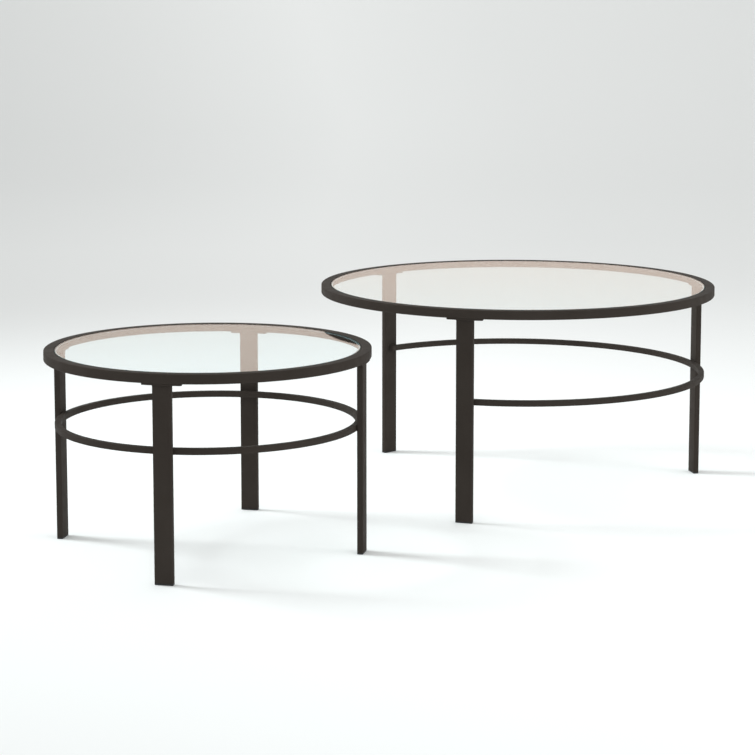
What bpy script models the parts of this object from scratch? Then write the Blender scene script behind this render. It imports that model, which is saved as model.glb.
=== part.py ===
"""A pair of round nesting tables with steel frames and inset glass tops.

The large table stands on three legs and its lower stretcher is open on one side, so the
small four-legged table can be pushed in under it. Metres, +Z up, floor at z = 0.
+X is the direction in which the small table enters the large one.
"""
import math
from dataclasses import dataclass

import bmesh
import bpy
from mathutils import Matrix, Vector

# ---------------------------------------------------------------- driving dimensions
CONTACT_GAP = 0.0003           # left between two pieces that touch

RING_WIDTH = 0.022             # top ring: rectangular tube, rolled into a circle
RING_DEPTH = 0.0195
TUBE_WALL = 0.0015

GLASS_THICKNESS = 0.004
GLASS_EDGE_CLEARANCE = 0.0010  # between the glass edge and the ring
GLASS_ARRIS = 0.0008           # ground edge of the glass
LEDGE_WIDTH = 0.006            # flat strip welded inside the ring, carries the glass
LEDGE_THICKNESS = 0.002
GASKET_WIDTH = 0.004           # clear strip on the ledge, under the glass
GASKET_THICKNESS = 0.0010

LEG_WIDTH = 0.038              # flat rectangular tube, wide face along the ring
LEG_THICKNESS = 0.0127
LEG_INSET = 0.0072             # outer face of the leg, in from the ring's outer face
FOOT_FLANGE = 0.003            # plastic plug: the part below the tube
FOOT_INSERT = 0.010            # plastic plug: the part inside the tube
FOOT_CLEARANCE = 0.0004        # between the plug's insert and the tube wall

PLATE_THICKNESS = 0.0032       # curved plate welded on the leg, screwed to the ring
PLATE_TAB = 0.021              # how far the plate stands out on each side of the leg
PLATE_MARGIN = 0.002           # plate's outer edge, in from the ring's; its inner one meets the leg's
PLATE_CORNER_RADIUS = 0.004

SCREW_RADIUS = 0.0025          # M5 countersunk screws, from below
SCREW_HEAD_RADIUS = 0.0046
SCREW_HEAD_HEIGHT = 0.0022
SCREW_LENGTH = 0.012
SCREW_CLEARANCE = 0.0003       # around the shank, in the plate and in the nut
SOCKET_RADIUS = 0.0016
SOCKET_DEPTH = 0.0014
NUT_SLEEVE_RADIUS = 0.0037     # rivet nuts in the ring's lower wall
NUT_BULB_RADIUS = 0.0050
NUT_HEIGHT = 0.0095

STRETCHER_SIZE = 0.0130        # square tube, rolled into a circle or an arc
STRETCHER_GAP = 0.0006         # between the leg's inner face and the stretcher
STRETCHER_OVERSHOOT = 0.0050   # an open stretcher runs past its last leg's centre line
DRAIN_HOLE_RADIUS = 0.0025
DRAIN_HOLE_OFFSET = 0.035      # along the stretcher, from each leg's centre line

# The small table's place beside the large one, and the way it takes to go under it.
SMALL_CENTRE_OFFSET = Vector((-0.7891, -0.4615))
NEST_PIVOT_OFFSET = 1.17       # pivot's distance from the mid-point, as a share of the gap's half

SEGMENTS = 72                  # round a full circle; a multiple of 3 and 4
SCREW_SEGMENTS = 12
PLATE_SEGMENTS = 4
ROUNDING_SEGMENTS = 3
MERGE_DISTANCE = 1e-5


@dataclass
class Table:
    """One table: what differs between the two."""

    name: str
    outer_radius: float
    height: float
    stretcher_top: float
    leg_count: int
    first_leg: float           # degrees, anticlockwise from +X
    open_stretcher: bool

    @property
    def inner_radius(self):
        return self.outer_radius - RING_WIDTH

    @property
    def middle_radius(self):
        return self.outer_radius - RING_WIDTH / 2

    @property
    def ring_bottom(self):
        return self.height - RING_DEPTH

    @property
    def glass_bottom(self):
        return self.height - CONTACT_GAP - GLASS_THICKNESS

    @property
    def ledge_top(self):
        return self.glass_bottom - GASKET_THICKNESS - 2 * CONTACT_GAP

    @property
    def ledge_outer(self):
        return self.inner_radius - CONTACT_GAP

    @property
    def plate_top(self):
        return self.ring_bottom - CONTACT_GAP

    @property
    def plate_bottom(self):
        return self.plate_top - PLATE_THICKNESS

    @property
    def leg_outer(self):
        return self.outer_radius - LEG_INSET

    @property
    def leg_inner(self):
        return self.leg_outer - LEG_THICKNESS

    @property
    def leg_top(self):
        return self.plate_bottom - CONTACT_GAP

    @property
    def stretcher_outer(self):
        return self.leg_inner - STRETCHER_GAP

    @property
    def stretcher_inner(self):
        return self.stretcher_outer - STRETCHER_SIZE

    @property
    def leg_step(self):
        return 360 / self.leg_count

    @property
    def leg_turns(self):
        """The legs' angles from the table's first leg, in radians."""
        return [math.radians(index * self.leg_step) for index in range(self.leg_count)]

    @property
    def plate_screw_turns(self):
        """The screws' angles: one in each tab of each leg's plate, in radians."""
        tab_middle = (LEG_WIDTH + PLATE_TAB) / 2 / self.middle_radius
        return [leg + side * tab_middle for leg in self.leg_turns for side in (-1, 1)]


LARGE = Table("large", outer_radius=0.4572, height=0.470, stretcher_top=0.2715,
              leg_count=3, first_leg=120.0, open_stretcher=True)
SMALL = Table("small", outer_radius=0.3380, height=0.419, stretcher_top=0.2700,
              leg_count=4, first_leg=66.35, open_stretcher=False)


# ---------------------------------------------------------------- materials
def material(name, colour, roughness, metallic=0.0, alpha=1.0):
    result = bpy.data.materials.new(name)
    result.use_nodes = True
    shader = result.node_tree.nodes["Principled BSDF"]
    shader.inputs["Base Color"].default_value = (*colour, 1.0)
    shader.inputs["Roughness"].default_value = roughness
    shader.inputs["Metallic"].default_value = metallic
    shader.inputs["Alpha"].default_value = alpha
    return result


def make_materials():
    return {
        "powder_coat": material("powder_coat", (0.032, 0.028, 0.025), 0.5, metallic=0.3),
        "clear_glass": material("clear_glass", (0.90, 0.95, 0.94), 0.02, alpha=0.35),
        "clear_silicone": material("clear_silicone", (0.85, 0.86, 0.86), 0.3, alpha=0.6),
        "black_plastic": material("black_plastic", (0.012, 0.012, 0.012), 0.45),
        "zinc_steel": material("zinc_steel", (0.60, 0.60, 0.58), 0.35, metallic=1.0),
        "black_screw": material("black_screw", (0.03, 0.03, 0.03), 0.4, metallic=0.8),
    }


# ---------------------------------------------------------------- mesh helpers
def finish_mesh(bm, name):
    """Close seams, point the faces out and shade round faces smooth."""
    bmesh.ops.remove_doubles(bm, verts=bm.verts, dist=MERGE_DISTANCE)
    bmesh.ops.recalc_face_normals(bm, faces=bm.faces)
    mesh = bpy.data.meshes.new(name)
    bm.to_mesh(mesh)
    bm.free()
    mesh.shade_smooth()
    mesh.set_sharp_from_angle(angle=math.radians(30))
    return mesh


def add_profile(bm, points, closed):
    """A chain of edges in the XZ plane through (radius, height) points."""
    verts = [bm.verts.new((radius, 0, height)) for radius, height in points]
    pairs = list(zip(verts, verts[1:]))
    if closed:
        pairs.append((verts[-1], verts[0]))
    return verts + [bm.edges.new(pair) for pair in pairs]


def turn(bm, geometry, angle, steps):
    """Sweep geometry about Z and return its last copy."""
    swept = bmesh.ops.spin(bm, geom=geometry, cent=(0, 0, 0), axis=(0, 0, 1),
                           angle=angle, steps=steps)
    return swept["geom_last"]


def turned_mesh(name, points, closed=False, segments=SCREW_SEGMENTS):
    """A solid of revolution about Z."""
    bm = bmesh.new()
    turn(bm, add_profile(bm, points, closed), math.tau, segments)
    return finish_mesh(bm, name)


def copies_mesh(name, source, places):
    """One mesh that holds a copy of the source at each of the places."""
    bm = bmesh.new()
    for place in places:
        before = len(bm.verts)
        bm.from_mesh(source)
        bm.verts.ensure_lookup_table()
        bmesh.ops.transform(bm, matrix=place, verts=bm.verts[before:])
    return finish_mesh(bm, name)


def rectangle(inner, outer, bottom, top):
    return [(inner, bottom), (outer, bottom), (outer, top), (inner, top)]


def ring_mesh(name, profile):
    return turned_mesh(name, profile, closed=True, segments=SEGMENTS)


def add_box(bm, low, high):
    size = [high_value - low_value for low_value, high_value in zip(low, high)]
    middle = [(high_value + low_value) / 2 for low_value, high_value in zip(low, high)]
    bmesh.ops.create_cube(bm, size=1, matrix=Matrix.Translation(middle) @ Matrix.Diagonal((*size, 1)))


# ---------------------------------------------------------------- object helpers
class Builder:
    """Makes one table's objects under its own empty."""

    def __init__(self, table, origin, materials):
        self.table = table
        self.origin = origin
        self.materials = materials

    def place(self, node, mesh, material_name, turn_angle=0.0, radius=0.0, height=0.0):
        """Put a mesh in the scene as a named piece, turned and moved out from the table's centre."""
        piece = bpy.data.objects.new(f"{self.table.name}_{node}", mesh)
        bpy.context.scene.collection.objects.link(piece)
        piece.parent = self.origin
        piece.rotation_euler.z = turn_angle
        piece.location = (radius * math.cos(turn_angle), radius * math.sin(turn_angle), height)
        if material_name:
            piece.data.materials.clear()
            piece.data.materials.append(self.materials[material_name])
        return piece

    def cutter(self, node, points, radius, angles, height):
        """One object with a round cutter at each of the angles."""
        places = [Matrix.Rotation(angle, 4, "Z") @ Matrix.Translation((radius, 0, height))
                  for angle in angles]
        piece = self.place(node, copies_mesh(node, turned_mesh(node, points), places), None)
        piece.hide_render = True
        piece.display_type = "WIRE"
        return piece


def hollow(piece):
    """Turn a solid bar into a tube of TUBE_WALL."""
    modifier = piece.modifiers.new("tube_wall", "SOLIDIFY")
    modifier.thickness = TUBE_WALL
    modifier.offset = -1
    modifier.use_even_offset = True


def cut(piece, cutter):
    modifier = piece.modifiers.new("holes", "BOOLEAN")
    modifier.operation = "DIFFERENCE"
    modifier.solver = "EXACT"
    modifier.object = cutter


# ---------------------------------------------------------------- top: ring, ledge, glass
def make_top_ring(builder):
    table = builder.table
    profile = rectangle(table.inner_radius, table.outer_radius, table.ring_bottom, table.height)
    ring = builder.place("top_ring", ring_mesh("top_ring", profile), "powder_coat")
    hollow(ring)
    hole_radius = NUT_SLEEVE_RADIUS + CONTACT_GAP
    hole = [(0, -TUBE_WALL), (hole_radius, -TUBE_WALL), (hole_radius, 2 * TUBE_WALL), (0, 2 * TUBE_WALL)]
    cut(ring, builder.cutter("ring_holes", hole, table.middle_radius,
                             table.plate_screw_turns, table.ring_bottom))


def make_glass_ledge(builder):
    table = builder.table
    profile = rectangle(table.ledge_outer - LEDGE_WIDTH, table.ledge_outer,
                        table.ledge_top - LEDGE_THICKNESS, table.ledge_top)
    builder.place("glass_ledge", ring_mesh("glass_ledge", profile), "powder_coat")


def make_glass(builder):
    table = builder.table
    radius = table.inner_radius - GLASS_EDGE_CLEARANCE
    bottom = table.glass_bottom
    top = bottom + GLASS_THICKNESS
    points = [(0, bottom), (radius - GLASS_ARRIS, bottom), (radius, bottom + GLASS_ARRIS),
              (radius, top - GLASS_ARRIS), (radius - GLASS_ARRIS, top), (0, top)]
    builder.place("glass_top", turned_mesh("glass_top", points, segments=SEGMENTS), "clear_glass")


def make_gasket(builder):
    table = builder.table
    middle = table.ledge_outer - LEDGE_WIDTH / 2
    bottom = table.ledge_top + CONTACT_GAP
    profile = rectangle(middle - GASKET_WIDTH / 2, middle + GASKET_WIDTH / 2,
                        bottom, bottom + GASKET_THICKNESS)
    builder.place("glass_gasket", ring_mesh("glass_gasket", profile), "clear_silicone")


# ---------------------------------------------------------------- legs: tube, plate, foot
def make_legs(builder):
    table = builder.table
    bm = bmesh.new()
    bottom = FOOT_FLANGE + CONTACT_GAP
    add_box(bm, (table.leg_inner, -LEG_WIDTH / 2, bottom), (table.leg_outer, LEG_WIDTH / 2, table.leg_top))
    ends = [face for face in bm.faces if abs(face.normal.z) > 0.5]
    bmesh.ops.delete(bm, geom=ends, context="FACES_ONLY")
    mesh = finish_mesh(bm, "leg")
    for number, angle in enumerate(table.leg_turns, start=1):
        leg = builder.place(f"leg_{number}", mesh, "powder_coat", angle)
        hollow(leg)


def plate_mesh(table):
    """A short arc of flat bar with rounded ends, centred on +X."""
    half_angle = (LEG_WIDTH / 2 + PLATE_TAB) / table.middle_radius
    profile = rectangle(table.leg_inner, table.outer_radius - PLATE_MARGIN,
                        table.plate_bottom, table.plate_top)
    bm = bmesh.new()
    geometry = add_profile(bm, profile, closed=True)
    face = bm.faces.new([item for item in geometry if isinstance(item, bmesh.types.BMVert)])
    bmesh.ops.rotate(bm, verts=bm.verts, cent=(0, 0, 0), matrix=Matrix.Rotation(-half_angle, 3, "Z"))
    turn(bm, [*bm.verts, *bm.edges, face], 2 * half_angle, 2 * PLATE_SEGMENTS)
    bmesh.ops.recalc_face_normals(bm, faces=bm.faces)
    corners = [edge for edge in bm.edges
               if abs((edge.verts[0].co - edge.verts[1].co).normalized().z) > 0.9
               and edge.calc_face_angle(0) > 1]
    bmesh.ops.bevel(bm, geom=corners, offset=PLATE_CORNER_RADIUS, segments=ROUNDING_SEGMENTS,
                    profile=0.5, affect="EDGES")
    return finish_mesh(bm, "leg_plate")


def make_leg_plates(builder):
    table = builder.table
    mesh = plate_mesh(table)
    shank = SCREW_RADIUS + SCREW_CLEARANCE
    head = SCREW_HEAD_RADIUS + SCREW_CLEARANCE
    above = 2 * PLATE_THICKNESS
    hole = [(0, -CONTACT_GAP), (head, -CONTACT_GAP), (head, CONTACT_GAP),
            (shank, CONTACT_GAP + SCREW_HEAD_HEIGHT), (shank, above), (0, above)]
    holes = builder.cutter("plate_holes", hole, table.middle_radius,
                           table.plate_screw_turns, table.plate_bottom)
    for number, angle in enumerate(table.leg_turns, start=1):
        plate = builder.place(f"leg_plate_{number}", mesh, "powder_coat", angle)
        cut(plate, holes)


def make_feet(builder):
    table = builder.table
    inset = TUBE_WALL + FOOT_CLEARANCE
    half_width = LEG_WIDTH / 2
    bm = bmesh.new()
    add_box(bm, (table.leg_inner, -half_width, 0), (table.leg_outer, half_width, FOOT_FLANGE))
    top = [face for face in bm.faces if face.normal.z > 0.5]
    bmesh.ops.inset_region(bm, faces=top, thickness=inset, use_even_offset=True)
    raised = bmesh.ops.extrude_face_region(bm, geom=top)
    bmesh.ops.delete(bm, geom=top, context="FACES_ONLY")
    lifted = [item for item in raised["geom"] if isinstance(item, bmesh.types.BMVert)]
    bmesh.ops.translate(bm, verts=lifted, vec=(0, 0, FOOT_INSERT))
    mesh = finish_mesh(bm, "foot")
    for number, angle in enumerate(table.leg_turns, start=1):
        builder.place(f"foot_{number}", mesh, "black_plastic", angle)


# ---------------------------------------------------------------- fasteners
def make_plate_screws(builder):
    table = builder.table
    points = [(0, SOCKET_DEPTH), (SOCKET_RADIUS, SOCKET_DEPTH), (SOCKET_RADIUS, 0),
              (SCREW_HEAD_RADIUS, 0), (SCREW_RADIUS, SCREW_HEAD_HEIGHT),
              (SCREW_RADIUS, SCREW_LENGTH), (0, SCREW_LENGTH)]
    mesh = turned_mesh("plate_screw", points)
    for number, angle in enumerate(table.plate_screw_turns, start=1):
        builder.place(f"plate_screw_{number}", mesh, "black_screw", angle,
                      table.middle_radius, table.plate_bottom + CONTACT_GAP)


def make_ring_nuts(builder):
    table = builder.table
    bore = SCREW_RADIUS + SCREW_CLEARANCE
    bulb_bottom = TUBE_WALL + CONTACT_GAP
    points = [(bore, 0), (NUT_SLEEVE_RADIUS, 0), (NUT_SLEEVE_RADIUS, bulb_bottom),
              (NUT_BULB_RADIUS, bulb_bottom), (NUT_SLEEVE_RADIUS, NUT_HEIGHT), (bore, NUT_HEIGHT)]
    mesh = turned_mesh("ring_nut", points, closed=True)
    for number, angle in enumerate(table.plate_screw_turns, start=1):
        builder.place(f"ring_nut_{number}", mesh, "zinc_steel", angle,
                      table.middle_radius, table.ring_bottom)


# ---------------------------------------------------------------- lower stretcher
def stretcher_mesh(table):
    """A closed ring, or an arc that starts at the first leg and ends at the last one."""
    profile = rectangle(table.stretcher_inner, table.stretcher_outer,
                        table.stretcher_top - STRETCHER_SIZE, table.stretcher_top)
    if not table.open_stretcher:
        return ring_mesh("stretcher", profile)
    overshoot = STRETCHER_OVERSHOOT / table.stretcher_outer
    arc_angle = math.radians(360 - table.leg_step)
    arc_steps = round(SEGMENTS * arc_angle / math.tau)
    bm = bmesh.new()
    geometry = add_profile(bm, profile, closed=True)
    start = bm.faces.new([item for item in geometry if isinstance(item, bmesh.types.BMVert)])
    turn_back = Matrix.Rotation(-arc_angle - overshoot, 3, "Z")
    bmesh.ops.rotate(bm, verts=bm.verts, cent=(0, 0, 0), matrix=turn_back)
    geometry.append(start)
    for angle, steps in ((overshoot, 1), (arc_angle, arc_steps), (overshoot, 1)):
        geometry = turn(bm, geometry, angle, steps)
    return finish_mesh(bm, "stretcher")


def drained_legs(table):
    """Legs that have stretcher tube just before them, going anticlockwise."""
    if table.open_stretcher:
        return [angle for number, angle in enumerate(table.leg_turns) if number != 1]
    return table.leg_turns


def make_stretcher(builder):
    table = builder.table
    stretcher = builder.place("stretcher", stretcher_mesh(table), "powder_coat")
    hollow(stretcher)
    middle = (table.stretcher_inner + table.stretcher_outer) / 2
    hole = [(0, -TUBE_WALL), (DRAIN_HOLE_RADIUS, -TUBE_WALL),
            (DRAIN_HOLE_RADIUS, 2 * TUBE_WALL), (0, 2 * TUBE_WALL)]
    angles = [angle - DRAIN_HOLE_OFFSET / middle for angle in drained_legs(table)]
    cut(stretcher, builder.cutter("drain_holes", hole, middle, angles,
                                  table.stretcher_top - STRETCHER_SIZE))


# ---------------------------------------------------------------- assembly
def make_table(table, origin, materials):
    builder = Builder(table, origin, materials)
    make_top_ring(builder)
    make_glass_ledge(builder)
    make_glass(builder)
    make_gasket(builder)
    make_legs(builder)
    make_leg_plates(builder)
    make_feet(builder)
    make_plate_screws(builder)
    make_ring_nuts(builder)
    make_stretcher(builder)


def table_centres():
    """Both tables' centres, with the origin in the middle of the pair's outline."""
    large = Vector((0, 0))
    small = SMALL_CENTRE_OFFSET
    middle = Vector((0, 0))
    for axis in (0, 1):
        low = min(large[axis] - LARGE.outer_radius, small[axis] - SMALL.outer_radius)
        high = max(large[axis] + LARGE.outer_radius, small[axis] + SMALL.outer_radius)
        middle[axis] = (low + high) / 2
    return large - middle, small - middle


def nest_pivot(large_centre, small_centre):
    """The upright axis about which the small table swings in under the large one."""
    half = (large_centre - small_centre) / 2
    sideways = Vector((half.y, -half.x))
    return small_centre + half + sideways * NEST_PIVOT_OFFSET


def add_empty(name, place, turn_angle=0.0, parent=None):
    empty = bpy.data.objects.new(name, None)
    bpy.context.scene.collection.objects.link(empty)
    empty.location = (place.x, place.y, 0)
    empty.rotation_euler.z = turn_angle
    empty.parent = parent
    return empty


def clear_scene():
    for item in list(bpy.data.objects):
        bpy.data.objects.remove(item)


def main():
    clear_scene()
    materials = make_materials()
    large_centre, small_centre = table_centres()
    pivot = nest_pivot(large_centre, small_centre)
    large_origin = add_empty("large_table", large_centre, math.radians(LARGE.first_leg))
    swing = add_empty("nest_swing_axis", pivot)
    small_origin = add_empty("small_table", small_centre - pivot, math.radians(SMALL.first_leg), swing)
    make_table(LARGE, large_origin, materials)
    make_table(SMALL, small_origin, materials)


main()
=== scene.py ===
"""Looks of the nesting tables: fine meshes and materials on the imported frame.

Every piece takes its place and size from the frame. Metres, +Z up, floor at z = 0.
"""
import math

import bmesh
import bpy
from mathutils import Matrix, Vector


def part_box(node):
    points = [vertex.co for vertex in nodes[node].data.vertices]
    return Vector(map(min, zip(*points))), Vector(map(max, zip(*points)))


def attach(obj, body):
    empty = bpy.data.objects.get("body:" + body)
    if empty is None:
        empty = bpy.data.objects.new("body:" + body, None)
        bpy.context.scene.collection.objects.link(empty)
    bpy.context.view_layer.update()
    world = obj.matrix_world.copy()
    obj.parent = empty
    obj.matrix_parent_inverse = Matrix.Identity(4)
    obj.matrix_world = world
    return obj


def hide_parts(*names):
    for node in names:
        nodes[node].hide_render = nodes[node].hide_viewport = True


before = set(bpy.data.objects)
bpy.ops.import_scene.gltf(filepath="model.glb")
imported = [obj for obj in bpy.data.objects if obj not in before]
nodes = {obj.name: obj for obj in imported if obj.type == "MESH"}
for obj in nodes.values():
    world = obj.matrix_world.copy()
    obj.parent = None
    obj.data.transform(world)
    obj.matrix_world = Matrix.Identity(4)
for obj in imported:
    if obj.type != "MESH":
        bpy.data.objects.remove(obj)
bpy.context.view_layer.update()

# ---------------------------------------------------------------- sizes of the fine detail (metres)
RING_SEGMENTS = 288            # round a full circle
RING_CORNER = 0.0016           # this and the next two are outside corner radii of tubes
LEG_CORNER = 0.0018
STRETCHER_CORNER = 0.0016
TUBE_WALL = 0.0015
LEDGE_CORNER = 0.0004
GASKET_CORNER = 0.00032
GLASS_ARRIS = 0.0008
PLATE_EDGE = 0.0004
FOOT_EDGE = 0.0006
CORNER_STEPS = 4
FOOT_INSERT_INSET = 0.0019
FOOT_LEAST_CORNER = 0.0003     # the corner radius that is left on the insert
FOOT_GAP = 0.0003              # between a foot's flange and its leg
WELD_SIDES = 8
WELD_RADIUS = 0.0011
WELD_SINK = 0.00022            # from a leg's top down to the middle of the bead round it
WELD_RIPPLE = 0.10             # share of the bead's radius
WELD_RIPPLE_LENGTH = 0.0020
WELD_RIPPLE_STEPS = 5          # points along each ripple
STRETCHER_WELD_LENGTH = 0.026
STRETCHER_WELD_OFFSET = 0.0004     # from a leg's inner face to the middle of a stretcher's bead
STRETCHER_END_WELD = 0.004     # how far a bead runs past the leg's middle where the stretcher ends
STRETCHER_OVERSHOOT = 0.005    # how far an open stretcher runs past the middle of its last legs
SCREW_SEGMENTS = 32
SCREW_SHANK_RADIUS = 0.0025
SCREW_CONE_HEIGHT = 0.0022
SCREW_RIM = 0.0002
HEX_RADIUS = 0.00173           # across the corners of a 3 mm socket, halved
HEX_DEPTH = 0.0016
DRAIN_HOLE_RADIUS = 0.0025
DRAIN_HOLE_OFFSET = 0.035      # along the stretcher, from the middle of a leg
DRAIN_HOLE_SEGMENTS = 24
DRAIN_CUTTER_DEPTH = 0.004


# ---------------------------------------------------------------- reading the frame
def node_points(node):
    return [vertex.co for vertex in nodes[node].data.vertices]


class Table:
    """Where one table stands, and the frame's sizes in its own round coordinates."""

    def __init__(self, name, leg_count, open_stretcher):
        self.name = name
        self.body = f"{name}_table"
        self.leg_count = leg_count
        self.open_stretcher = open_stretcher
        low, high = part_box(f"{name}_top_ring")
        self.centre = Vector(((low[0] + high[0]) / 2, (low[1] + high[1]) / 2, 0))

    def round_size(self, node):
        """A round node's inner and outer radius, bottom and top."""
        points = [point - self.centre for point in node_points(f"{self.name}_{node}")]
        radii = [math.hypot(point.x, point.y) for point in points]
        heights = [point.z for point in points]
        return min(radii), max(radii), min(heights), max(heights)

    def angle_of(self, node):
        """The angle of a node's middle about the table's centre."""
        low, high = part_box(f"{self.name}_{node}")
        return math.atan2((low[1] + high[1]) / 2 - self.centre.y, (low[0] + high[0]) / 2 - self.centre.x)

    def local_box(self, node):
        """A node's corners in a frame turned so that X points out through its middle."""
        turn_back = Matrix.Rotation(-self.angle_of(node), 3, "Z")
        points = [turn_back @ (point - self.centre) for point in node_points(f"{self.name}_{node}")]
        low = Vector([min(point[axis] for point in points) for axis in range(3)])
        high = Vector([max(point[axis] for point in points) for axis in range(3)])
        return low, high

    def placed(self, angle=0.0):
        """The matrix that takes a piece from that turned frame to its place."""
        return Matrix.Translation(self.centre) @ Matrix.Rotation(angle, 4, "Z")


TABLES = (Table("large", 3, True), Table("small", 4, False))


# ---------------------------------------------------------------- mesh helpers
def rounded_rectangle(low, high, radius, steps=CORNER_STEPS):
    """Points round a rectangle with rounded corners, anticlockwise from the lower left."""
    points = []
    corners = ((low[0], low[1], 180), (high[0], low[1], 270), (high[0], high[1], 0), (low[0], high[1], 90))
    for x, y, start in corners:
        middle_x = x + radius if x == low[0] else x - radius
        middle_y = y + radius if y == low[1] else y - radius
        for step in range(steps + 1):
            angle = math.radians(start + 90 * step / steps)
            points.append((middle_x + radius * math.cos(angle), middle_y + radius * math.sin(angle)))
    return points


def finish_mesh(bm, name, sharp_angle=50):
    """Close up the mesh and shade it smooth, except its many-sided faces, which are truly flat."""
    bmesh.ops.remove_doubles(bm, verts=bm.verts, dist=1e-6)
    bmesh.ops.recalc_face_normals(bm, faces=bm.faces)
    mesh = bpy.data.meshes.new(name)
    bm.to_mesh(mesh)
    bm.free()
    mesh.set_sharp_from_angle(angle=math.radians(sharp_angle))
    for polygon in mesh.polygons:
        polygon.use_smooth = len(polygon.vertices) <= 4
    return mesh


def add_loop(bm, points):
    return [bm.verts.new(point) for point in points]


def bridge(bm, first, second):
    """Quads between two loops of the same number of points."""
    count = len(first)
    return [bm.faces.new((first[i], first[(i + 1) % count], second[(i + 1) % count], second[i]))
            for i in range(count)]


def swept_mesh(name, profile, first=0.0, last=math.tau, segments=RING_SEGMENTS):
    """A (radius, height) outline swept about Z; an open sweep gets flat ends."""
    bm = bmesh.new()
    whole = math.isclose(last - first, math.tau)
    steps = max(3, round(segments * (last - first) / math.tau))
    angles = [first + (last - first) * step / steps for step in range(steps + (not whole))]
    loops = [add_loop(bm, [(radius * math.cos(angle), radius * math.sin(angle), height)
                           for radius, height in profile]) for angle in angles]
    for loop, following in zip(loops, loops[1:]):
        bridge(bm, loop, following)
    if whole:
        bridge(bm, loops[-1], loops[0])
    else:
        bm.faces.new(loops[0])
        bm.faces.new(loops[-1])
    return finish_mesh(bm, name)


def bead(bm, path, radius, closed):
    """A weld bead: a rippled round bar along a path, added to bm."""
    up = Vector((0, 0, 1))
    turns = [math.tau * step / WELD_SIDES for step in range(WELD_SIDES)]
    loops = []
    travelled = 0.0
    count = len(path)
    for index, point in enumerate(path):
        before = path[index - 1] if closed or index else point
        after = path[(index + 1) % count] if closed or index < count - 1 else point
        forward = (after - before).normalized()
        side = forward.cross(up).normalized()
        if index:
            travelled += (point - before).length
        thick = radius * (1 + WELD_RIPPLE * math.sin(math.tau * travelled / WELD_RIPPLE_LENGTH))
        loops.append(add_loop(bm, [point + thick * (math.cos(turn) * side + math.sin(turn) * up)
                                   for turn in turns]))
    for loop, following in zip(loops, loops[1:]):
        bridge(bm, loop, following)
    if closed:
        bridge(bm, loops[-1], loops[0])
    else:
        bm.faces.new(loops[0])
        bm.faces.new(loops[-1])


def add_piece(name, mesh, table, materials, replaced=(), matrix=None):
    """Put a mesh in the scene on its table's body, standing for the CAD nodes it replaces."""
    piece = bpy.data.objects.new(name, mesh)
    bpy.context.scene.collection.objects.link(piece)
    if matrix is not None:
        mesh.transform(matrix)
    for entry in materials:
        mesh.materials.append(entry)
    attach(piece, table.body)
    if replaced:
        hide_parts(*replaced)
    return piece


# ---------------------------------------------------------------- materials
class Nodes:
    """A short way to write a material's node tree."""

    def __init__(self, name):
        self.material = bpy.data.materials.new(name)
        self.material.use_nodes = True
        self.tree = self.material.node_tree
        self.tree.nodes.clear()
        self.output = self.add("ShaderNodeOutputMaterial")
        self.coordinates = None

    def add(self, kind, values=None, **settings):
        node = self.tree.nodes.new(kind)
        for key, value in settings.items():
            setattr(node, key, value)
        for key, value in (values or {}).items():
            node.inputs[key].default_value = value
        return node

    def link(self, source, target):
        self.tree.links.new(source, target)

    def noise(self, scale, detail=2.0, roughness=0.5):
        """Noise in the object's own metres: scale is in cycles to the metre."""
        if self.coordinates is None:
            self.coordinates = self.add("ShaderNodeTexCoord").outputs["Object"]
        node = self.add("ShaderNodeTexNoise", {"Scale": scale, "Detail": detail, "Roughness": roughness})
        self.link(self.coordinates, node.inputs["Vector"])
        return node.outputs["Fac"]

    def spread(self, factor, low, high):
        """Stretch a 0.3 to 0.7 noise to the range from low to high."""
        node = self.add("ShaderNodeMapRange",
                        {"From Min": 0.3, "From Max": 0.7, "To Min": low, "To Max": high})
        self.link(factor, node.inputs["Value"])
        return node.outputs["Result"]

    def ramp(self, factor, low, high, start=0.3, end=0.7):
        node = self.add("ShaderNodeValToRGB")
        stops = node.color_ramp.elements
        stops[0].position, stops[0].color = start, (*low, 1)
        stops[1].position, stops[1].color = end, (*high, 1)
        self.link(factor, node.inputs["Fac"])
        return node.outputs["Color"]

    def bump(self, height, distance, strength=1.0, normal=None):
        node = self.add("ShaderNodeBump", {"Strength": strength, "Distance": distance})
        self.link(height, node.inputs["Height"])
        if normal is not None:
            self.link(normal, node.inputs["Normal"])
        return node.outputs["Normal"]

    def principled(self, **values):
        """A Principled shader on the output; a value can be a number, a colour or a socket."""
        shader = self.add("ShaderNodeBsdfPrincipled")
        for key, value in values.items():
            socket = shader.inputs[key.replace("_", " ")]
            if isinstance(value, bpy.types.NodeSocket):
                self.link(value, socket)
            else:
                socket.default_value = (*value, 1) if isinstance(value, tuple) else value
        self.link(shader.outputs["BSDF"], self.output.inputs["Surface"])
        return shader


def powder_coat():
    """Dark bronze powder coat: fine orange peel, a faint mottle and a soft satin sheen."""
    n = Nodes("powder_coat")
    colour = n.ramp(n.noise(9, 3), (0.0330, 0.0266, 0.0221), (0.0390, 0.0318, 0.0269))
    grains = n.ramp(n.noise(2600, 1), (0.80, 0.80, 0.80), (1.15, 1.13, 1.12))
    mixed = n.add("ShaderNodeMix", {"Factor": 1.0}, data_type="RGBA", blend_type="MULTIPLY")
    n.link(colour, mixed.inputs["A"])
    n.link(grains, mixed.inputs["B"])
    peel = n.bump(n.noise(650, 2), 0.00005, 0.55)
    texture = n.bump(n.noise(2600, 1), 0.000018, 0.6, peel)
    n.principled(Base_Color=mixed.outputs["Result"], Roughness=n.spread(n.noise(35, 3), 0.68, 0.80),
                 Specular_IOR_Level=0.12, Normal=texture)
    return n.material


GLASS_INDEX = 1.14             # lower than real glass, for a see-through pane at a low angle


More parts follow.
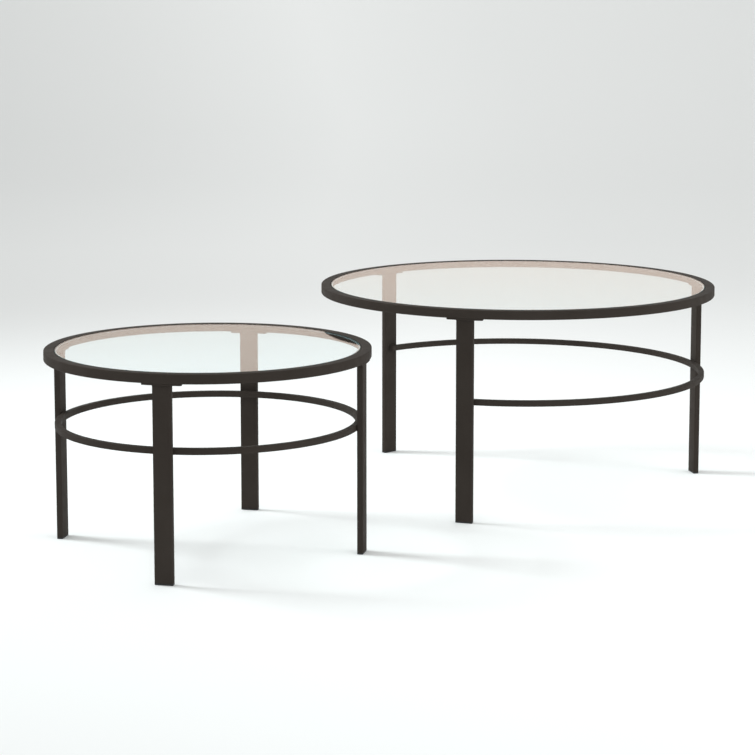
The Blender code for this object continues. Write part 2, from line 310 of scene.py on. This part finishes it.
def clear_glass():
    """Clear tempered glass: cool to look through at a low angle, where its mirror is tinted warm, a
    painted reflection colour.

    Lamps and light bounced off the floor go straight through, so the shadow of a pane is faint.
    """
    n = Nodes("clear_glass")
    bent = n.add("ShaderNodeBsdfRefraction", {"Roughness": 0.0, "IOR": GLASS_INDEX})
    # painted reflection: the glass mirrors its surroundings tinted warm
    painted_warm_reflection = n.add("ShaderNodeBsdfGlossy", {"Color": (1.0, 0.78, 0.67, 1), "Roughness": 0.004})
    share = n.add("ShaderNodeFresnel", {"IOR": GLASS_INDEX})
    tint = n.ramp(share.outputs["Fac"], (0.955, 0.99, 0.99), (0.80, 0.942, 0.99), 0.02, 0.28)
    n.link(tint, bent.inputs["Color"])
    glass = n.add("ShaderNodeMixShader")
    n.link(share.outputs["Fac"], glass.inputs["Fac"])
    n.link(bent.outputs["BSDF"], glass.inputs[1])
    n.link(painted_warm_reflection.outputs["BSDF"], glass.inputs[2])
    open_pane = n.add("ShaderNodeBsdfTransparent", {"Color": (0.955, 0.965, 0.96, 1)})
    path = n.add("ShaderNodeLightPath")
    surface = glass
    for ray in ("Is Shadow Ray", "Is Diffuse Ray"):
        lit = n.add("ShaderNodeMixShader")
        n.link(path.outputs[ray], lit.inputs["Fac"])
        n.link(surface.outputs["Shader"], lit.inputs[1])
        n.link(open_pane.outputs["BSDF"], lit.inputs[2])
        surface = lit
    n.link(surface.outputs["Shader"], n.output.inputs["Surface"])
    return n.material


def glass_edge():
    """The ground edge of the glass: dark green, because it is seen against the ring behind it."""
    n = Nodes("glass_edge")
    n.principled(Base_Color=n.ramp(n.noise(400, 2), (0.020, 0.045, 0.038), (0.032, 0.062, 0.053)),
                 Roughness=n.spread(n.noise(1500, 2), 0.30, 0.44),
                 Normal=n.bump(n.noise(3000, 1), 0.00002, 0.5))
    return n.material


def clear_silicone():
    n = Nodes("clear_silicone")
    n.principled(Base_Color=n.ramp(n.noise(60, 2), (0.78, 0.80, 0.80), (0.86, 0.88, 0.88)),
                 Roughness=n.spread(n.noise(300, 2), 0.28, 0.42), IOR=1.41, Transmission_Weight=0.75,
                 Normal=n.bump(n.noise(900, 2), 0.00003, 0.5))
    return n.material


def black_plastic():
    """Moulded plastic with a fine spark-eroded grain."""
    n = Nodes("black_plastic")
    n.principled(Base_Color=n.ramp(n.noise(30, 3), (0.008, 0.008, 0.008), (0.014, 0.014, 0.015)),
                 Roughness=n.spread(n.noise(120, 3), 0.42, 0.60),
                 Normal=n.bump(n.noise(2200, 2), 0.00003, 0.7))
    return n.material


def metal(name, low, high, roughness, scratch_scale):
    n = Nodes(name)
    n.principled(Base_Color=n.ramp(n.noise(180, 3), low, high), Metallic=1.0,
                 Roughness=n.spread(n.noise(700, 3), roughness - 0.07, roughness + 0.09),
                 Normal=n.bump(n.noise(scratch_scale, 2), 0.00002, 0.4))
    return n.material


POWDER = powder_coat()
GLASS = clear_glass()
GLASS_EDGE = glass_edge()
SILICONE = clear_silicone()
PLASTIC = black_plastic()
BLACK_SCREW = metal("black_oxide_screw", (0.030, 0.029, 0.028), (0.055, 0.053, 0.050), 0.36, 2500)
ZINC = metal("zinc_plated_steel", (0.42, 0.43, 0.44), (0.58, 0.58, 0.57), 0.34, 1800)


# ---------------------------------------------------------------- top ring, ledge, gasket, glass
def add_round(table, node, corner, material):
    inner, outer, bottom, top = table.round_size(node)
    profile = rounded_rectangle((inner, bottom), (outer, top), corner)
    return add_piece(f"fine_{table.name}_{node}", swept_mesh(node, profile), table, [material],
                     [f"{table.name}_{node}"], table.placed())


def add_glass(table):
    _, outer, bottom, top = table.round_size("glass_top")
    arris = [(outer - GLASS_ARRIS * (1 - math.sin(math.radians(angle))),
              GLASS_ARRIS * (1 - math.cos(math.radians(angle)))) for angle in range(0, 91, 30)]
    edge = [(radius, bottom + rise) for radius, rise in arris]
    edge += [(radius, top - rise) for radius, rise in reversed(arris)]
    bm = bmesh.new()
    angles = [math.tau * step / RING_SEGMENTS for step in range(RING_SEGMENTS)]
    loops = [add_loop(bm, [(radius * math.cos(a), radius * math.sin(a), height) for a in angles])
             for radius, height in edge]
    for loop, following in zip(loops, loops[1:]):
        for face in bridge(bm, loop, following):
            face.material_index = 1
    bm.faces.new(loops[0])
    bm.faces.new(loops[-1])
    mesh = finish_mesh(bm, "glass_top", 25)
    node = f"{table.name}_glass_top"
    add_piece(f"fine_{node}", mesh, table, [GLASS, GLASS_EDGE], [node], table.placed())


# ---------------------------------------------------------------- legs, plates, feet
def add_leg(table, number):
    node = f"leg_{number}"
    low, high = table.local_box(node)
    outside = rounded_rectangle(low.xy, high.xy, LEG_CORNER)
    inside = rounded_rectangle((low.x + TUBE_WALL, low.y + TUBE_WALL),
                               (high.x - TUBE_WALL, high.y - TUBE_WALL), LEG_CORNER - TUBE_WALL)
    bm = bmesh.new()
    loops = [add_loop(bm, [(x, y, z) for x, y in outline])
             for outline, z in ((outside, low.z), (outside, high.z), (inside, high.z), (inside, low.z))]
    for loop, following in zip(loops, loops[1:] + loops[:1]):
        bridge(bm, loop, following)
    mesh = finish_mesh(bm, node, 40)
    add_piece(f"fine_{table.name}_{node}", mesh, table, [POWDER],
              [f"{table.name}_{node}"], table.placed(table.angle_of(node)))


def add_foot(table, number):
    """A plug in the end of the leg: a flange with a rounded lower edge, and its insert."""
    node = f"foot_{number}"
    low, high = table.local_box(node)
    flange_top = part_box(f"{table.name}_leg_{number}")[0][2] - FOOT_GAP
    bm = bmesh.new()
    rises = [(FOOT_EDGE * (1 - math.sin(math.radians(a))), FOOT_EDGE * (1 - math.cos(math.radians(a))))
             for a in range(0, 91, 30)]
    outlines = [(inset, low.z + rise) for inset, rise in rises]
    outlines += [(0, flange_top), (FOOT_INSERT_INSET, flange_top), (FOOT_INSERT_INSET, high.z)]
    loops = []
    for inset, z in outlines:
        corner = max(LEG_CORNER - inset, FOOT_LEAST_CORNER)
        outline = rounded_rectangle((low.x + inset, low.y + inset),
                                    (high.x - inset, high.y - inset), corner)
        loops.append(add_loop(bm, [(x, y, z) for x, y in outline]))
    for loop, following in zip(loops, loops[1:]):
        bridge(bm, loop, following)
    bm.faces.new(loops[0])
    bm.faces.new(loops[-1])
    add_piece(f"fine_{table.name}_{node}", finish_mesh(bm, node, 40), table, [PLASTIC],
              [f"{table.name}_{node}"], table.placed(table.angle_of(node)))


def finish_plate(table, number):
    """A leg plate keeps its CAD shape, with its edges broken."""
    plate = nodes[f"{table.name}_leg_plate_{number}"]
    plate.data.materials.clear()
    plate.data.materials.append(POWDER)
    broken = plate.modifiers.new("edges", "BEVEL")
    broken.width = PLATE_EDGE
    broken.segments = 2
    broken.limit_method = "ANGLE"
    broken.angle_limit = math.radians(40)


# ---------------------------------------------------------------- welds
def dense(corners, spacing, closed):
    """Points about spacing apart along straight stretches between corners."""
    ends = list(zip(corners, corners[1:] + corners[:1])) if closed else list(zip(corners, corners[1:]))
    path = []
    for start, end in ends:
        steps = max(1, round((end - start).length / spacing))
        path += [start.lerp(end, step / steps) for step in range(steps)]
    return path if closed else path + [corners[-1]]


def add_welds(table, number):
    """Beads round the leg's top under its plate, and above and below the stretcher.

    An open stretcher ends at the first and the second leg.
    """
    low, high = table.local_box(f"leg_{number}")
    _, _, bottom, top = table.round_size("stretcher")
    spacing = WELD_RIPPLE_LENGTH / WELD_RIPPLE_STEPS
    bm = bmesh.new()
    outline = rounded_rectangle(low.xy, high.xy, LEG_CORNER)
    corners = [Vector((x, y, high.z - WELD_SINK)) for x, y in outline]
    bead(bm, dense(corners, spacing, True), WELD_RADIUS, True)
    half = STRETCHER_WELD_LENGTH / 2
    for z in (bottom, top):
        first = -half
        last = half
        if table.open_stretcher and number == 1:
            last = STRETCHER_END_WELD
        if table.open_stretcher and number == 2:
            first = -STRETCHER_END_WELD
        ends = [Vector((low.x - STRETCHER_WELD_OFFSET, y, z)) for y in (first, last)]
        bead(bm, dense(ends, spacing, False), WELD_RADIUS, False)
    add_piece(f"{table.name}_welds_{number}", finish_mesh(bm, "welds", 80), table, [POWDER],
              matrix=table.placed(table.angle_of(f"leg_{number}")))


# ---------------------------------------------------------------- screws and nuts
def add_screw(table, number):
    """A countersunk screw, head down, with a bevelled rim and a hexagon socket."""
    node = f"plate_screw_{number}"
    low, high = table.local_box(node)
    head = (high.x - low.x) / 2
    face_z = low.z
    middle = Vector(((low.x + high.x) / 2, (low.y + high.y) / 2, 0))
    angles = [math.tau * step / SCREW_SEGMENTS for step in range(SCREW_SEGMENTS)]

    def circle(radius, z):
        return [(radius * math.cos(a), radius * math.sin(a), z) for a in angles]

    def hexagon(z):
        flat = HEX_RADIUS * math.cos(math.radians(30))
        points = []
        for a in angles:
            reach = flat / math.cos((a % math.radians(60)) - math.radians(30))
            points.append((reach * math.cos(a), reach * math.sin(a), z))
        return points

    bm = bmesh.new()
    loops = [add_loop(bm, points) for points in (
        hexagon(face_z + HEX_DEPTH),
        hexagon(face_z + SCREW_RIM),
        hexagon(face_z),
        circle(head - 2 * SCREW_RIM, face_z),
        circle(head, face_z + SCREW_RIM),
        circle(SCREW_SHANK_RADIUS, face_z + SCREW_CONE_HEIGHT),
        circle(SCREW_SHANK_RADIUS, high.z))]
    for loop, following in zip(loops, loops[1:]):
        bridge(bm, loop, following)
    bm.faces.new(loops[0])
    bm.faces.new(loops[-1])
    matrix = table.placed(table.angle_of(node)) @ Matrix.Translation(middle)
    add_piece(f"fine_{table.name}_{node}", finish_mesh(bm, node, 35), table, [BLACK_SCREW],
              [f"{table.name}_{node}"], matrix)


# ---------------------------------------------------------------- stretcher
def drain_cutter(table, middle, height, angles):
    """Short upright pins, one for each drain hole in the stretcher's underside."""
    bm = bmesh.new()
    for angle in angles:
        place = table.placed(angle) @ Matrix.Translation((middle, 0, height))
        bmesh.ops.create_cone(bm, cap_ends=True, segments=DRAIN_HOLE_SEGMENTS, radius1=DRAIN_HOLE_RADIUS,
                              radius2=DRAIN_HOLE_RADIUS, depth=DRAIN_CUTTER_DEPTH, matrix=place)
    return finish_mesh(bm, "drain_cutter")


def add_stretcher(table):
    """A rolled tube, right round or open between the first two legs, with drain holes below."""
    inner, outer, bottom, top = table.round_size("stretcher")
    profile = rounded_rectangle((inner, bottom), (outer, top), STRETCHER_CORNER)
    first_leg = table.angle_of("leg_1")
    legs = [first_leg + math.tau * index / table.leg_count for index in range(table.leg_count)]
    if table.open_stretcher:
        overshoot = STRETCHER_OVERSHOOT / outer
        last = first_leg + overshoot
        first = first_leg - math.tau * (table.leg_count - 1) / table.leg_count - overshoot
        mesh = swept_mesh("stretcher", profile, first, last)
        drained = [legs[0], legs[2]]
    else:
        mesh = swept_mesh("stretcher", profile)
        drained = legs
    piece = add_piece(f"fine_{table.name}_stretcher", mesh, table, [POWDER],
                      [f"{table.name}_stretcher"], table.placed())
    middle = (inner + outer) / 2
    angles = [angle - DRAIN_HOLE_OFFSET / middle for angle in drained]
    cutter = bpy.data.objects.new("drain_cutter", drain_cutter(table, middle, bottom, angles))
    bpy.context.scene.collection.objects.link(cutter)
    hole = piece.modifiers.new("drain", "BOOLEAN")
    hole.operation = "DIFFERENCE"
    hole.object = cutter
    bpy.context.view_layer.update()
    evaluated = piece.evaluated_get(bpy.context.evaluated_depsgraph_get())
    drilled = bpy.data.meshes.new_from_object(evaluated)
    piece.modifiers.remove(hole)
    piece.data = drilled
    bpy.data.objects.remove(cutter)


# ---------------------------------------------------------------- both tables
for table in TABLES:
    add_round(table, "top_ring", RING_CORNER, POWDER)
    add_round(table, "glass_ledge", LEDGE_CORNER, POWDER)
    add_round(table, "glass_gasket", GASKET_CORNER, SILICONE)
    add_glass(table)
    add_stretcher(table)
    for leg_number in range(1, table.leg_count + 1):
        add_leg(table, leg_number)
        add_foot(table, leg_number)
        finish_plate(table, leg_number)
        add_welds(table, leg_number)
    for screw_number in range(1, 2 * table.leg_count + 1):
        add_screw(table, screw_number)
        nut = nodes[f"{table.name}_ring_nut_{screw_number}"]
        nut.data.materials.clear()
        nut.data.materials.append(ZINC)


# ---------------------------------------------------------------- stage: a pale, seamless studio floor with painted light and shade
STUDIO_FLOOR_RADIUS = 8.5
STUDIO_FLAT_SHARE = 0.9        # of the floor's radius, up to a ring that keeps its shading flat
STUDIO_FLOOR_DROP = 0.0004     # below the feet
STUDIO_COVE_RADIUS = 6.0
STUDIO_COVE_ANGLE = 45         # degrees of upward curve at the floor's far edge
STUDIO_COVE_STEP = 5           # degrees
STUDIO_SEGMENTS = 96
SHADE_LEFT = -4.0
SHADE_RIGHT = 6.0
SHADE_BACK_START = 5.0
SHADE_BACK_END = 10.0
SHADE_BACK_SHIFT = 1.2         # how far to the right the painted shade lies at the back


def studio_painted_shade():
    """White floor with painted light and shade: darker to both sides, with the painted shade further right
    at the back.
    """
    n = Nodes("studio_painted_shade")
    place = n.add("ShaderNodeTexCoord")
    parts = n.add("ShaderNodeSeparateXYZ")
    n.link(place.outputs["Object"], parts.inputs["Vector"])
    back = n.add("ShaderNodeMapRange", {"From Min": SHADE_BACK_START, "From Max": SHADE_BACK_END,
                                        "To Max": SHADE_BACK_SHIFT})
    n.link(parts.outputs["Y"], back.inputs["Value"])
    across = n.add("ShaderNodeMath", operation="SUBTRACT")
    n.link(parts.outputs["X"], across.inputs[0])
    n.link(back.outputs["Result"], across.inputs[1])
    share = n.add("ShaderNodeMapRange", {"From Min": SHADE_LEFT, "From Max": SHADE_RIGHT})
    n.link(across.outputs["Value"], share.inputs["Value"])
    # painted light pool: brightest near x = 0.7 m, painted shade darker to both sides and darkest at the
    # left
    floor_shade = n.add("ShaderNodeValToRGB")
    stops = floor_shade.color_ramp.elements
    stops[0].position, stops[0].color = 0.0, (0.66, 0.67, 0.665, 1)
    stops[1].position, stops[1].color = 1.0, (0.80, 0.81, 0.805, 1)
    for position, colour in ((0.33, (0.85, 0.86, 0.855, 1)), (0.47, (0.95, 0.96, 0.955, 1)),
                             (0.60, (0.895, 0.905, 0.90, 1))):
        stops.new(position).color = colour
    n.link(share.outputs["Result"], floor_shade.inputs["Fac"])
    n.principled(Base_Color=floor_shade.outputs["Color"], Roughness=0.9, Specular_IOR_Level=0.1)
    return n.material


def add_stage():
    """A round floor that curves up into a low cove at its edge."""
    outline = [(STUDIO_FLOOR_RADIUS * STUDIO_FLAT_SHARE, 0.0)]
    outline += [(STUDIO_FLOOR_RADIUS + STUDIO_COVE_RADIUS * math.sin(math.radians(angle)),
                 STUDIO_COVE_RADIUS * (1 - math.cos(math.radians(angle))))
                for angle in range(0, STUDIO_COVE_ANGLE + 1, STUDIO_COVE_STEP)]
    bm = bmesh.new()
    angles = [math.tau * step / STUDIO_SEGMENTS for step in range(STUDIO_SEGMENTS)]
    loops = [add_loop(bm, [(radius * math.cos(a), radius * math.sin(a), z) for a in angles])
             for radius, z in outline]
    for loop, following in zip(loops, loops[1:]):
        bridge(bm, loop, following)
    bm.faces.new(loops[0])
    mesh = finish_mesh(bm, "studio")
    mesh.materials.append(studio_painted_shade())
    studio = bpy.data.objects.new("studio", mesh)
    studio.location.z = -STUDIO_FLOOR_DROP
    bpy.context.scene.collection.objects.link(studio)


def add_area_light(name, place, target, size, power, colour, spread=180):
    """A square lamp that lights the scene, but isn't seen itself, not even mirrored in the glass."""
    light = bpy.data.lights.new(name, "AREA")
    light.shape = "SQUARE"
    light.size = size
    light.spread = math.radians(spread)
    light.energy = power
    light.color = colour
    lamp = bpy.data.objects.new(name, light)
    lamp.location = place
    lamp.rotation_euler = (Vector(target) - Vector(place)).to_track_quat("-Z", "Y").to_euler()
    lamp.visible_camera = False
    lamp.visible_glossy = False
    lamp.visible_transmission = False
    bpy.context.scene.collection.objects.link(lamp)


def add_sky():
    """A white studio all round: brightest in a band just above the cove, and softer overhead."""
    world = bpy.data.worlds.new("studio_sky")
    world.use_nodes = True
    tree = world.node_tree
    direction = tree.nodes.new("ShaderNodeTexCoord")
    parts = tree.nodes.new("ShaderNodeSeparateXYZ")
    sky = tree.nodes.new("ShaderNodeValToRGB")
    stops = sky.color_ramp.elements
    stops[0].position, stops[0].color = 0.0, (1.015, 1.025, 1.02, 1)
    stops[1].position, stops[1].color = 1.0, (0.76, 0.77, 0.765, 1)
    for position, level in ((0.10, 1.15), (0.165, 1.36), (0.30, 0.985), (0.60, 0.81)):
        stops.new(position).color = (level * 0.99, level, level * 0.995, 1)
    tree.links.new(direction.outputs["Generated"], parts.inputs["Vector"])
    tree.links.new(parts.outputs["Z"], sky.inputs["Fac"])
    tree.links.new(sky.outputs["Color"], tree.nodes["Background"].inputs["Color"])
    bpy.context.scene.world = world


def add_lights():
    add_sky()
    add_area_light("key", (-4.0, 1.85, 4.1), (0, -0.1, 0.2), 1.6, 32, (0.92, 0.98, 1.0), 65)
    add_area_light("fill", (4.2, -2.2, 1.1), (0, 0, 0.25), 1.5, 44, (1.0, 1.0, 1.0))
    bpy.context.scene.view_settings.view_transform = "Standard"


CAMERA_PLACE = (-1.061, -4.8294, 1.155)
CAMERA_HEADING = math.radians(11.997)      # to the right of +Y
CAMERA_PITCH = math.radians(7.625)         # downwards
CAMERA_SENSOR = 36                         # mm
CAMERA_LENS = 106.6                        # mm
CAMERA_SHIFT = -0.12


def add_camera():
    camera = bpy.data.cameras.new("camera")
    camera.sensor_width = CAMERA_SENSOR
    camera.lens = CAMERA_LENS
    camera.shift_y = CAMERA_SHIFT
    holder = bpy.data.objects.new("camera", camera)
    holder.location = CAMERA_PLACE
    forward = Vector((math.sin(CAMERA_HEADING) * math.cos(CAMERA_PITCH),
                      math.cos(CAMERA_HEADING) * math.cos(CAMERA_PITCH),
                      -math.sin(CAMERA_PITCH)))
    holder.rotation_euler = forward.to_track_quat("-Z", "Y").to_euler()
    bpy.context.scene.collection.objects.link(holder)
    bpy.context.scene.camera = holder


add_stage()
add_lights()
add_camera()
